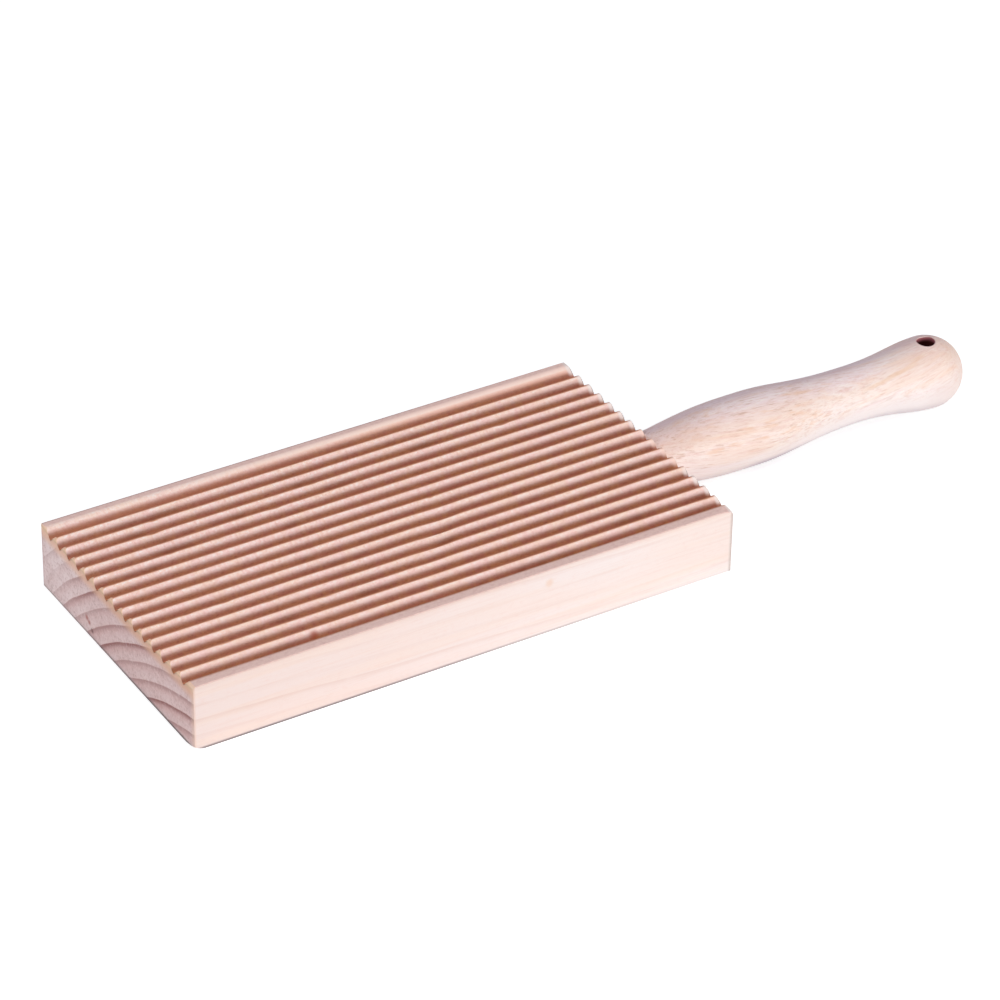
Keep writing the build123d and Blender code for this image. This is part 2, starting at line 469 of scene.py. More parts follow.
def make_plank():
    """The ridged plank, with all its sides on one grid of mesh lines."""
    along, across, up = lines_along(), lines_across(), shares_up()
    size = (len(along), len(across), len(up))
    heights = up * TOP_Z - AXIS_Z
    block_j = [np.argmin(np.abs(across - side * BORE_BLOCK)) for side in (-1, 1)]
    block_k = [np.argmin(np.abs(heights - side * BORE_BLOCK)) for side in (-1, 1)]
    quads = []
    for side in ("left", "right", "near", "far", "top"):
        part = side_quads(size, side)
        if side == "right":
            cell_j, cell_k = part[:, :, 1].min(axis=1), part[:, :, 2].min(axis=1)
            bored_j = (cell_j >= block_j[0]) & (cell_j < block_j[1])
            bored_k = (cell_k >= block_k[0]) & (cell_k < block_k[1])
            part = part[~(bored_j & bored_k)]
        quads.append(part)
    under = underside_faces(along, across)
    keys = np.ravel_multi_index(tuple(np.concatenate(quads).reshape(-1, 3).T), size)
    under_keys = [np.ravel_multi_index((i, j, 0), size) for face in under for i, j in face]
    used = np.unique(np.concatenate([keys, under_keys]))
    number = np.full(size, -1)
    number[np.unravel_index(used, size)] = np.arange(len(used))
    i, j, k = np.unravel_index(used, size)
    x, y = along[i], across[j]
    points = np.stack([x, y, up[k] * top_surface(x, y)], -1)
    ease_plank(points)
    faces = [tuple(quad) for quad in np.searchsorted(used, keys).reshape(-1, 4)]
    faces += [[number[i, j, 0] for i, j in face] for face in under]
    ring = [number[size[0] - 1, a, b] for a, b in block_ring(block_j, block_k)]
    points = bore_plank_end(points, faces, ring)
    return make_piece("ridged_plank", points, faces)


# Mesh of the handle


def bezier(start, first, second, end, count):
    """Points on a cubic curve, without its last one."""
    t = np.linspace(0, 1, count, endpoint=False)[:, None]
    start, first, second, end = map(np.array, (start, first, second, end))
    return (1 - t) ** 3 * start + 3 * (1 - t) ** 2 * t * first + 3 * (1 - t) * t**2 * second + t**3 * end


def level_curve(start, leave, arrive, end, count):
    """A curve that leaves and arrives level, with its inner points at these shares of its run."""
    run = end[0] - start[0]
    return bezier(start, (start[0] + leave * run, start[1]), (end[0] - arrive * run, end[1]), end, count)


def handle_outline():
    """Distance from the joint and radius, along the handle from its root to its tip."""
    rise = BELLY_RADIUS - ROOT_RADIUS
    dome = HANDLE_LENGTH - BULB_X
    shoulder = (0.52 * BELLY_X, ROOT_RADIUS + 0.93 * rise)
    belly = (BELLY_X, BELLY_RADIUS)
    neck = (NECK_X, NECK_RADIUS)
    bulb = (BULB_X, BULB_RADIUS)
    tip = (HANDLE_LENGTH, 0)
    parts = [
        bezier((0, ROOT_RADIUS), shoulder, (0.57 * BELLY_X, BELLY_RADIUS), belly, 30),
        level_curve(belly, 0.32, 0.49, neck, 26),
        level_curve(neck, 0.48, 0.32, bulb, 30),
        bezier(bulb, (BULB_X + 0.40 * dome, BULB_RADIUS), (HANDLE_LENGTH, 0.70 * BULB_RADIUS), tip, 22),
    ]
    return np.concatenate(parts + [np.array([tip])])


OUTLINE = handle_outline()


def handle_radius(along):
    """Radius of the handle at places along X."""
    return np.interp(along - JOINT_X, OUTLINE[:, 0], OUTLINE[:, 1])


def handle_bend(along):
    """How far the handle's middle has bent up at places along X."""
    from_joint = along - JOINT_X
    share = np.clip((from_joint - BULB_DROP_START) / (BULB_DROP_END - BULB_DROP_START), 0, 1)
    return NECK_RISE * hump(from_joint - NECK_X, NECK_RISE_RUN) - BULB_DROP * smooth(share)


def hole_rings(outer, upper):
    """Rings of points for the hanging hole, from the surface in to the handle's middle."""
    side = 1 if upper else -1
    turn = np.arctan2(outer[:, 1], outer[:, 0] - HOLE_X)

    def ring_at(reach, share, sink=0.0, height=1.0):
        x = outer[:, 0] * (1 - share) + (HOLE_X + reach * np.cos(turn)) * share
        y = outer[:, 1] * (1 - share) + reach * np.sin(turn) * share
        z = (np.sqrt(handle_radius(x) ** 2 - y**2) - sink) * height
        return np.stack([x, y, AXIS_Z + side * z], -1)

    rings = [ring_at(HOLE_RADIUS + HOLE_RIM_EASE, share) for share in (0.35, 0.7, 0.9, 1)]
    for lean in np.radians([30, 60, 90]):
        reach = HOLE_RADIUS + HOLE_RIM_EASE * (1 - math.sin(lean))
        rings.append(ring_at(reach, 1, HOLE_RIM_EASE * (1 - math.cos(lean))))
    rings += [ring_at(HOLE_RADIUS, 1, HOLE_RIM_EASE, height) for height in (0.7, 0.35)]
    return rings


def make_handle():
    """The turned handle, with the dowel's bore and the hanging hole in its grid of rings."""
    count = HANDLE_LINES
    bore = [(share * BORE_DEPTH, BORE_RADIUS) for share in reversed(BORE_SHARES)]
    root = [(0, (BORE_RADIUS + ROOT_RADIUS) / 2), (0, ROOT_RADIUS - ROOT_EASE)]
    profile = np.concatenate([bore, root, OUTLINE[:-1]])
    outer_from = len(bore) + len(root)
    profile[outer_from] = (ROOT_EASE, ROOT_RADIUS)
    turn = 2 * np.pi * np.arange(count) / count
    x = JOINT_X + profile[:, 0][:, None] + 0 * turn
    y = profile[:, 1][:, None] * np.cos(turn)
    z = AXIS_Z + profile[:, 1][:, None] * np.sin(turn)
    points = np.stack([x, y, z], -1).reshape(-1, 3)
    number = np.arange(len(points)).reshape(len(profile), count)
    bore_tip, tip = len(points), len(points) + 1
    ends = [(JOINT_X + BORE_DEPTH + BORE_POINT, 0, AXIS_Z), (JOINT_X + HANDLE_LENGTH, 0, AXIS_Z)]
    points = np.concatenate([points, ends])
    reach = HOLE_RADIUS + HOLE_PATCH
    outer = JOINT_X + profile[outer_from:, 0]
    rows = [outer_from + np.argmin(np.abs(outer - HOLE_X - side * reach)) for side in (-1, 1)]
    half = round(count * reach / (2 * math.pi * BULB_RADIUS)) + 1
    middles = (count // 4, 3 * count // 4)
    open_lines = {(middle + n) % count for middle in middles for n in range(-half, half)}
    faces = []
    for i in range(len(profile) - 1):
        for j in range(count):
            if not (rows[0] <= i < rows[1] and j in open_lines):
                k = (j + 1) % count
                faces.append((number[i, j], number[i, k], number[i + 1, k], number[i + 1, j]))
    for j in range(count):
        k = (j + 1) % count
        faces.append((bore_tip, number[0, k], number[0, j]))
        faces.append((tip, number[-1, j], number[-1, k]))
    inner_rings = []
    for middle in middles:
        ring = [number[i, j % count] for i, j in block_ring(rows, (middle - half, middle + half))]
        previous = np.array(ring[::-1])
        corners = points[previous]
        for new in hole_rings(corners, middle == middles[0]):
            fresh = np.arange(len(points), len(points) + len(new))
            points = np.concatenate([points, new])
            faces += ring_faces(previous, fresh)
            previous = fresh
        inner_rings.append((np.arctan2(corners[:, 1], corners[:, 0] - HOLE_X), previous))
    faces += join_hole(inner_rings)
    sand_unevenly(points)
    points[:, 2] += handle_bend(points[:, 0])
    return make_piece("turned_handle", points, faces)


def sand_unevenly(points):
    """Takes a few hundredths of a millimetre off here and there, as sanding does."""
    spread = points - np.array([JOINT_X, 0, AXIS_Z])
    turn = np.arctan2(spread[:, 2], spread[:, 1])
    uneven = 0.5 + 0.5 * grain_noise(21, spread[:, 0] / SANDING_WAVE, turn * SANDING_WAVES_AROUND)
    radius = np.maximum(np.hypot(spread[:, 1], spread[:, 2]), 1e-9)
    fade = np.clip(spread[:, 0] / SANDING_START, 0, 1) * np.clip(radius / BORE_RADIUS - 1, 0, 1)
    shrink = 1 - SANDING_UNEVENNESS * uneven * fade / radius
    points[:, 1] *= shrink
    points[:, 2] = AXIS_Z + spread[:, 2] * shrink


def join_hole(inner_rings):
    """Faces that join the two halves of the hanging hole's wall."""
    (upper_turn, upper), (lower_turn, lower) = inner_rings
    order = [int(np.argmin(np.abs(np.angle(np.exp(1j * (lower_turn - turn)))))) for turn in upper_turn]
    return ring_faces(upper, lower[order])


plank = make_plank()
handle = make_handle()


# Finishes


def paint(red, green, blue):
    """A colour given as it is seen on screen, from 0 to 255, as Blender's linear colour."""
    linear = []
    for value in (red, green, blue):
        share = value / 255
        linear.append(share / 12.92 if share <= 0.04045 else ((share + 0.055) / 1.055) ** 2.4)
    return (*linear, 1.0)


class Value:
    """A socket of a finish that takes Python arithmetic."""

    def __init__(self, finish, socket):
        self.finish, self.socket = finish, socket

    def math(self, operation, *numbers):
        return self.finish.node("ShaderNodeMath", {"operation": operation}, dict(enumerate(numbers)))

    def apply(self, operation, *other):
        return self.math(operation, self, *other)

    __add__ = __radd__ = partialmethod(apply, "ADD")
    __mul__ = __rmul__ = partialmethod(apply, "MULTIPLY")
    __sub__ = partialmethod(apply, "SUBTRACT")
    __truediv__ = partialmethod(apply, "DIVIDE")
    __pow__ = partialmethod(apply, "POWER")
    high = partialmethod(apply, "MAXIMUM")
    size = partialmethod(apply, "ABSOLUTE")
    root = partialmethod(apply, "SQRT")
    sine = partialmethod(apply, "SINE")
    part = partialmethod(apply, "FRACT")
    whole = partialmethod(apply, "FLOOR")

    def __rsub__(self, other):
        return self.math("SUBTRACT", other, self)

    def ease(self, start, end):
        """0 at start, 1 at end and smooth between them."""
        settings = {"interpolation_type": "SMOOTHSTEP"}
        sockets = {"Value": self, "From Min": start, "From Max": end}
        return self.finish.node("ShaderNodeMapRange", settings, sockets)

    def band(self, start, full, full_end, end):
        """0 at start, 1 from full to full_end, 0 at end and smooth between them."""
        return self.ease(start, full) * self.ease(end, full_end)


class Finish:
    """A material whose nodes are made by plain calls."""

    def __init__(self, name):
        self.material = bpy.data.materials.new(name)
        self.material.use_nodes = True
        self.tree = self.material.node_tree
        self.shader = self.tree.nodes["Principled BSDF"]

    def node(self, kind, settings=None, sockets=None, output=0):
        """A node with its settings made and its sockets filled, as the value of one output."""
        made = self.tree.nodes.new(kind)
        for name, setting in (settings or {}).items():
            setattr(made, name, setting)
        for name, value in (sockets or {}).items():
            self.fill(made.inputs[name], value)
        return Value(self, made.outputs[output]) if made.outputs else None

    def fill(self, socket, value):
        if isinstance(value, Value):
            self.tree.links.new(value.socket, socket)
        else:
            socket.default_value = value

    def set(self, **sockets):
        for name, value in sockets.items():
            self.fill(self.shader.inputs[name.replace("_", " ")], value)

    @cached_property
    def place(self):
        """The place on the object in millimetres, as a vector."""
        metres = self.node("ShaderNodeTexCoord", output="Object")
        return self.scaled(metres, (1 / MM, 1 / MM, 1 / MM))

    def facing(self):
        """How far the surface faces ahead along X, aside along Y and up."""
        return self.parts(self.node("ShaderNodeTexCoord", output="Normal"))

    def parts(self, vector):
        """The three numbers of a vector."""
        made = self.node("ShaderNodeSeparateXYZ", sockets={0: vector})
        return [Value(self, socket) for socket in made.socket.node.outputs]

    def joined(self, x, y, z):
        return self.node("ShaderNodeCombineXYZ", sockets={0: x, 1: y, 2: z})

    def scaled(self, vector, factors):
        return self.node("ShaderNodeVectorMath", {"operation": "MULTIPLY"}, {0: vector, 1: factors})

    def noise(self, factors, detail, roughness=0.5, vector=None):
        """Noise from 0 to 1, with a wavelength of 1 where a factor is 1 per millimetre."""
        return self.noise_at(self.scaled(vector or self.place, factors), detail, roughness)

    def noises(self, vector, **settings):
        """Several noises by name at one vector."""
        made = {name: self.noise(*each, vector=vector) for name, each in settings.items()}
        return SimpleNamespace(**made)

    def noise_at(self, vector, detail, roughness):
        """Noise from 0 to 1 at a place that is counted in wavelengths."""
        sockets = {"Vector": vector, "Scale": 1.0, "Detail": detail, "Roughness": roughness}
        return self.node("ShaderNodeTexNoise", {"noise_dimensions": "3D"}, sockets)

    def mix(self, share, first, second):
        """A colour between two, each a value or as it is seen on screen."""
        first, second = [paint(*end) if isinstance(end, tuple) else end for end in (first, second)]
        settings = {"data_type": "RGBA", "clamp_factor": True}
        return self.node("ShaderNodeMix", settings, {0: share, 6: first, 7: second}, 2)

    def layered(self, colour, *layers):
        """A colour with others laid over it in turn, each given after its share."""
        for share, seen in layers:
            colour = self.mix(share, colour, seen)
        return colour

    def bump(self, height, distance, strength):
        sockets = {"Height": height, "Distance": distance, "Strength": strength}
        return self.node("ShaderNodeBump", sockets=sockets)


# The frame's places in millimetres, in which the finishes are written
LEFT = LEFT_X / MM
JOINT = JOINT_X / MM
TOP = TOP_Z / MM
SIDE = HALF_WIDTH / MM
PATTERN = PATTERN_HALF / MM
DEEPEST = GROOVE_DEPTH / MM
HOLE = HOLE_RADIUS / MM
WOOD_GLOSS = 0.3

# Softwood of the plank. Its pith lies below and in front of it, and falls away towards the handle
PITH_Y = -79
PITH_Z = -115
PITH_FALL = -0.085
PITH_BEND = 0.00026
RING_SPACING = 5.8
FIRST_RING = 118.4
RING_SWAY = 6
RING_SWAY_RUN = 60

# Small knots, each as distance from the plain end, place across, height and radius
GROOVE_KNOT = (47.2, -44.4, 22.9, 2)
FRONT_KNOT = (129.2, -52.5, 19.4, 1.8)
END_KNOT = (0, 20.9, 6.3, 1.4)
END_KNOT_SIDE = (0, 19.3, 5.4, 1.2)
END_FLAW = (0, 17.4, 3.2, 1.1)

# Strips along the plank: the places across where each starts, is full, starts to fade and ends
# The first three are painted light and shade on the far land's inner edge: a painted highlight, an orange
# painted light and a painted shade on the slope into the first groove
BRIGHT_LAND_EDGE = (49, 49.6, 50.2, 50.8)
ORANGE_SLOPE = (47.2, 47.7, 48.4, 49)
SHADED_SLOPE = (44.6, 45.8, 47.6, 48.6)
BESIDE_HANDLE = (-25, -22, 6, 9)

# Stretches of the handle in the same order, as distances from the joint
PALE_NECK = (56, 70, 88, 100)
LOW_BELLY = (14, 26, 36, 46)
SHADED_UNDERSIDE = (30, 42, 50, 64)
STRIPE = (78, 92, 104, 112)

# Turn of the handle's grain, and the middle of its stripe along it and above its axis
GRAIN_TURN = 30
STRIPE_MIDDLE = 82
STRIPE_HEIGHT = 6


def knot_at(finish, knot):
    """1 inside a small knot, with a soft edge."""
    from_end, across, height, radius = knot
    sockets = {0: finish.place, 1: (LEFT + from_end, across, height)}
    distance = finish.node("ShaderNodeVectorMath", {"operation": "DISTANCE"}, sockets, "Value")
    return 1 - distance.ease(0.2 * radius, 1.2 * radius)


def plank_growth(finish, x, y, z):
    """Each year's late wood as a line and as a slow darkening, and the year's tone."""
    from_end = x - LEFT
    sway = finish.noise((0.010, 0.008, 0.008), 1) - 0.5
    sway = sway * from_end.ease(0, RING_SWAY_RUN) * RING_SWAY
    ripple = finish.noise((0.03, 0.07, 0.07), 2) - 0.5
    from_pith_y = y - PITH_Y
    from_pith_z = z - PITH_Z - from_end * PITH_FALL - from_end * from_end * PITH_BEND
    radius = (from_pith_y * from_pith_y + from_pith_z * from_pith_z).root()
    growth = (radius + sway + ripple - FIRST_RING) / RING_SPACING
    phase = growth.part()
    line = phase.ease(0.5, 0.95) ** 2 * (1 - phase.ease(0.955, 1.0))
    year = 0.5 + 0.5 * (growth.whole() * 2.0 - 0.43).sine()
    return line, phase.ease(0.15, 0.95), year


def plank_grain(finish, x, y, z):
    """What runs through the plank's wood: its years, fibres, cells and uneven tones."""
    grain = finish.noises(
        finish.place,
        fibre=((0.03, 1.5, 1.5), 3, 0.6),
        streak=((0.008, 0.28, 0.28), 2),
        broad=((0.012, 0.05, 0.05), 1),
        fleck=((0.12, 2.6, 2.6), 1),
        cells=((2.0, 3.5, 3.5), 2, 0.7),
        mottle=((0.6, 0.9, 0.9), 3, 0.7),
        blotch=((0.05, 0.16, 0.16), 2, 0.6),
    )
    grain.fleck = grain.fleck.ease(0.66, 0.78)
    grain.line, grain.late, grain.year = plank_growth(finish, x, y, z)
    return grain


def side_colour(finish, grain, x, z):
    """The plank's long sides: pale, and duller along their top edge and at both ends."""
    along = x.ease(-150, 60)
    seen_line = grain.line * (0.05 + 0.28 * grain.year) * (1 - 0.6 * along) * grain.blotch.ease(0.25, 0.55)
    return finish.layered(
        (244, 225, 218),
        (along, (248, 237, 233)),
        (grain.broad.ease(0.4, 0.65) * 0.4, (250, 224, 210)),
        (grain.streak.ease(0.45, 0.75) * 0.35, (248, 222, 204)),
        (grain.fibre.ease(0.45, 0.75) * 0.25, (236, 204, 192)),
        (grain.mottle.ease(0.5, 0.75) * 0.2, (240, 206, 194)),
        (seen_line, (222, 184, 170)),
        (grain.fleck * 0.2, (232, 196, 178)),
        (z.ease(TOP - 1.9, TOP - 0.2) * 0.4, (238, 208, 194)),
        (z.ease(TOP - 0.6, TOP - 0.1) * 0.55, (222, 186, 174)),
        (x.ease(LEFT + 0.9, LEFT + 0.2) * 0.5, (240, 202, 182)),
        (x.ease(JOINT - 1.5, JOINT - 0.4) * 0.6, (184, 168, 162)),
    )


def end_colour(finish, grain, y, z):
    """The sawn ends: dark ring lines in mottled end grain, warmer above and scuffed below."""
    knot = knot_at(finish, END_KNOT).high(knot_at(finish, END_KNOT_SIDE))
    scuff = grain.cells.ease(0.5, 0.7) * z.ease(4.5, 1.2)
    warm_band = finish.mix(y.ease(0, 30), (236, 186, 154), (252, 202, 172))
    return finish.layered(
        (252, 230, 227),
        (grain.blotch.ease(0.35, 0.65), (244, 219, 216)),
        (y.ease(34, 8) * 0.65, (228, 196, 192)),
        (grain.late * (0.35 + 0.4 * grain.year) * y.ease(56, 24), (208, 158, 154)),
        (grain.line * (0.35 + 0.6 * grain.year) * (0.25 + 0.75 * y.ease(44, 12)), (140, 80, 76)),
        (grain.mottle.ease(0.48, 0.7) * 0.5, (186, 146, 138)),
        (grain.mottle.ease(0.48, 0.25) * 0.45, (252, 236, 234)),
        (grain.cells.ease(0.45, 0.8) * 0.3, (205, 168, 162)),
        (knot * 0.8, (176, 100, 90)),
        (knot_at(finish, END_FLAW) * 0.85, (112, 70, 68)),
        (scuff * 0.45, (150, 130, 128)),
        (z.ease(TOP - 6.5, TOP - 2.7) * 0.8, warm_band),
        (z.ease(TOP - 2.7, TOP - 1.1) * 0.95, (255, 216, 182)),
        (y.ease(SIDE - 1.3, SIDE - 0.3) * z.ease(TOP - 1.5, TOP - 4.5) * 0.5, (186, 148, 150)),
        (y.ease(3.0 - SIDE, 0.1 - SIDE) * 0.5, (248, 214, 192)),
    )


def ridge_colour(finish, x, y, depth, aside):
    """Fuzzy pink and cream crests over grooves painted orange-brown as shade, both mottled along their
    length.
    """
    ridge = ((y + PATTERN) / (GROOVE_PITCH / MM) + 0.5).whole()
    tone = finish.noise_at(finish.joined(x * 0.12, ridge * 5.7, 0.5), 3, 0.7)
    hollow_tone = finish.noise_at(finish.joined(x * 0.16, ridge * 3.1, 7.5), 3, 0.7)
    stain = finish.noise_at(finish.joined(x * 0.04, ridge * 2.3, 2.5), 2, 0.6)
    chatter = finish.noise_at(finish.joined(x * 1.3 + y * 0.25, y * 0.45, 3.5), 2, 0.7)
    speckle = finish.noise((0.7, 1.3, 1.3), 3, 0.75)
    patch = finish.noise((0.25, 0.6, 0.6), 2, 0.6)
    fuzz = 0.45 + 0.55 * x.ease(60, -120) * y.ease(-45, 20)
    # Painted highlight on the far land's shoulder down into the first groove
    shoulder = y.ease(47.8, 48.8) * (0.4 + 0.6 * x.ease(-140, -60))
    crest = finish.layered(
        (255, 219, 210),
        (tone.ease(0.35, 0.65), (254, 222, 201)),
        (speckle.ease(0.5, 0.7) * 0.38, (230, 178, 158)),
        (speckle.ease(0.48, 0.34) * fuzz, (255, 242, 236)),
        (chatter.ease(0.5, 0.7) * fuzz * 0.3, (222, 166, 146)),
        (chatter.ease(0.48, 0.34) * fuzz * 0.35, (255, 242, 236)),
        (patch.ease(0.5, 0.7) * 0.22, (238, 196, 184)),
        (patch.ease(0.48, 0.3) * 0.6, (255, 238, 228)),
        (shoulder * 0.8, (255, 229, 216)),
        (x.ease(0, 100) * 0.3, (254, 220, 194)),
    )
    # Painted shade: the grooves are painted a darker orange-brown, the deeper the darker, in place of the
    # shade that falls in them
    shaded_hollow = finish.layered(
        (182, 108, 84),
        (hollow_tone.ease(0.4, 0.6), (188, 120, 80)),
        (x.ease(-20, -140) * 0.25, (206, 138, 110)),
        (x.ease(0, 100) * y.ease(20, -50) * 0.25, (150, 84, 58)),
        (stain.ease(0.55, 0.72) * 0.55, (142, 78, 52)),
        (speckle.ease(0.48, 0.68) * 0.45, (150, 84, 62)),
        (speckle.ease(0.45, 0.3) * 0.3, (206, 140, 112)),
    )
    on_arc = y.ease(PATTERN, PATTERN - 1.5) * (0.5 + 0.5 * y.ease(-PATTERN, 1.2 - PATTERN))
    on_arc = on_arc * aside.ease(0.76, 0.64)
    # Painted shade: the crests' far sides, which face away from the front lamp, take the grooves' shaded
    # colour
    far_side_shade = aside.ease(-0.38, 0.0) * 0.9 * on_arc
    # Depth that sets the painted shade, kept lower on the far land's rubbed shoulder
    shading_depth = depth - y.ease(47.4, 48.4) * 0.3
    near_side = shading_depth.band(0.3, 0.8, 1.1, 1.8) * aside.ease(-0.3, -0.5)
    return finish.layered(
        finish.mix(shading_depth.ease(0.35, 2.4).high(far_side_shade), crest, shaded_hollow),
        # Painted shade: darker brown on the far-facing side of the crests, orange where it turns over the
        # crest
        (aside.ease(-0.1, 0.25) * on_arc * 0.6, (166, 82, 48)),
        (aside.band(-0.45, -0.22, -0.05, 0.15) * on_arc * 0.5, (230, 152, 106)),
        # Painted light: a pink tint on the near-facing flanks, where the front lamp falls
        (near_side * 0.2, (246, 206, 210)),
        # Painted shade on the slope into the first groove
        (y.band(*SHADED_SLOPE) * (0.18 + 0.12 * x.ease(-60, -140)), (228, 152, 118)),
        # Orange painted light where the slope into the first groove faces the front lamp
        (y.band(*ORANGE_SLOPE) * x.ease(-150, 0) * 0.32, (252, 184, 146)),
        (knot_at(finish, GROOVE_KNOT) * 0.65, (176, 74, 38)),
    )


def plank_finish():
    """Pale planed softwood with growth rings, fibres and darker end grain, with painted shade in its
    grooves, on its far edge and along its bottom edges, and painted highlights on its far land and on its
    ridges' ends by the handle.
    """
    finish = Finish("planed_softwood")
    x, y, z = finish.parts(finish.place)
    ahead, aside, up = finish.facing()
    grain = plank_grain(finish, x, y, z)
    end_grain = ahead.size().ease(0.62, 0.95)
    rounding = ahead.size().ease(0.1, 0.5) * (1 - end_grain)

    depth = TOP - z
    on_top = up.ease(0.2, 0.6) * depth.ease(DEEPEST + 1.2, DEEPEST + 0.3)
    ridged = on_top * y.band(-PATTERN - 0.4, -PATTERN + 0.1, PATTERN + 0.6, PATTERN + 1.25)
    land = finish.mix(grain.mottle.ease(0.4, 0.7), (246, 211, 201), (236, 197, 188))
    # Painted shade: a grey-mauve strip along the far edge, which faces away from the front lamp
    far_edge_shade = on_top * y.ease(SIDE - 1.0, SIDE - 0.2) * x.ease(50, -50)
    # Painted highlight along the far land's inner edge
    land_edge_highlight = on_top * y.band(*BRIGHT_LAND_EDGE) * x.ease(-130, -10)
    by_handle = y.band(*BESIDE_HANDLE)
    # Painted highlight: the ridges' rounded ends by the handle are painted pale, as if lit from the right,
    # less so and warmer beside the handle
    end_highlight = on_top * x.ease(JOINT - 2.2, JOINT - 0.9) * depth.ease(2.8, 1.4)
    end_highlight_colour = finish.mix(by_handle, (248, 236, 230), (254, 222, 206))
    face = finish.layered(
        side_colour(finish, grain, x, z),
        (on_top, land),
        (ridged, ridge_colour(finish, x, y, depth, aside)),
        (far_edge_shade * 0.55, (168, 144, 142)),
        (land_edge_highlight * 0.7, (255, 221, 208)),
        (rounding * on_top * x.ease(0, -100) * 0.8, (255, 214, 184)),
        (end_highlight * (0.8 - 0.2 * by_handle), end_highlight_colour),
        (x.ease(JOINT - 0.4, JOINT - 0.1) * (0.75 - 0.65 * by_handle), (160, 146, 142)),
        (knot_at(finish, FRONT_KNOT) * 0.4, (236, 192, 156)),
    )

    # Painted shadow: the lowest millimetre or so is painted dark grey in place of the contact shadow under
    # the bottom edges, most at the near side and the plain end, not on the underside itself
    shadow_weight = (0.1 + 0.9 * x.ease(40, -130)) * (0.55 + 0.45 * y.ease(40, -40))
    low = z - end_grain * y.ease(54, 10) * 0.3
    contact_shadow = low.ease(1.15, 0.4) * (0.75 + 0.25 * grain.blotch) * shadow_weight * up.ease(-0.95, -0.6)
    contact_shadow_colour = finish.mix(low.ease(0.7, 0.2), (108, 95, 97), (56, 48, 50))
    colour = finish.layered(
        finish.mix(end_grain, face, end_colour(finish, grain, y, z)),
        # Painted shade: greyer towards the bottom, from a little higher up
        (z.ease(2.4, 0.9) * shadow_weight * 0.15, (200, 190, 198)),
        (contact_shadow * 0.9, contact_shadow_colour),
    )

    rough = 0.6 + 0.15 * grain.fibre - 0.1 * grain.line
    height = grain.fibre * 0.5 + grain.cells * end_grain * 0.6 + grain.line * 0.3
    finish.set(Base_Color=colour, Roughness=rough, Normal=finish.bump(height, 0.05 * MM, 0.6))
    finish.set(Specular_IOR_Level=WOOD_GLOSS)
    return finish.material


def handle_grain(finish, x, y, z, reach):
    """What runs through the handle's wood, along lines that turn down past the belly."""
    past_turn = reach - GRAIN_TURN
    bend = past_turn * past_turn * 0.002 - past_turn * 0.1
    drift = finish.noise((0.012, 0.02, 0.02), 1) - 0.5
    along = finish.joined(x, y + drift * 14 + x * 0.05, z - bend)
    grain = finish.noises(
        along,
        broad=((0.010, 0.16, 0.16), 2),
        streak=((0.03, 0.45, 0.45), 2),
        wisp=((0.09, 0.9, 0.9), 3, 0.65),
        sliver=((0.16, 1.5, 1.5), 3, 0.65),
        ember=((0.09, 0.42, 0.42), 3, 0.6),
        fibre=((0.06, 2.2, 2.2), 2, 0.6),
        pores=((0.15, 1.5, 1.5), 2),
        fine_pores=((0.35, 4.0, 4.0), 1, 0.4),
        patch=((0.04, 0.14, 0.14), 1),
    )
    grain.pores = grain.pores.ease(0.60, 0.74)
    grain.fine_pores = grain.fine_pores.ease(0.58, 0.70)
    grain.patch = grain.patch.ease(0.40, 0.58)
    return grain


def grained_colour(finish, grain, reach, up, belly):
    """The handle's wood with its bands, streaks, wisps, slivers and fine pores, and painted light and shade
    by which way it faces.
    """
    front = up.ease(-0.3, 0.3)
    # Painted shade: the handle's top is tinted mauve along most of its length and browner on the bulb
    upper = up.ease(0.65, 0.97) * (0.4 + 0.5 * grain.broad)
    dark_sliver = grain.sliver.ease(0.52, 0.7) * (0.15 + 0.45 * front) * (0.5 + 0.5 * belly)
    return finish.layered(
        (249, 234, 227),
        (grain.broad.ease(0.35, 0.65), (248, 230, 219)),
        # Painted light: paler on the lower side past the belly, in place of light bounced up from the floor
        (reach.ease(48, 72) * up.ease(0.6, 0.2) * 0.6, (250, 240, 237)),
        (upper * reach.ease(104, 84), (248, 224, 229)),
        (upper * reach.ease(94, 108) * 0.9, (244, 205, 196)),
        (grain.streak.ease(0.5, 0.7) * 0.4 * (0.3 + 0.7 * front), (248, 212, 188)),
        (grain.streak.ease(0.48, 0.3) * 0.5, (248, 229, 228)),
        (grain.wisp.ease(0.5, 0.7) * (0.35 + 0.2 * front), (230, 190, 180)),
        (grain.wisp.ease(0.46, 0.28) * 0.45, (255, 245, 240)),
        (dark_sliver, (210, 174, 154)),
        (grain.sliver.ease(0.46, 0.28) * (0.2 + 0.4 * front), (255, 248, 240)),
        (grain.ember.ease(0.54, 0.7) * belly * front * 0.48, (236, 190, 150)),
        (grain.fibre.ease(0.45, 0.8) * 0.2, (238, 206, 196)),
        (grain.fine_pores * 0.25, (220, 174, 148)),
    )


def orange_stripe(grain, reach, above_axis):
    """1 along the curved orange stripe that runs up the handle's bulb."""
    past = reach - STRIPE_MIDDLE
    off_line = above_axis - STRIPE_HEIGHT - past * 0.08 - past * past * 0.004 + (grain.wisp - 0.5) * 1.6
    return (1 - off_line.size().ease(0.1, 0.8)) * reach.band(*STRIPE)


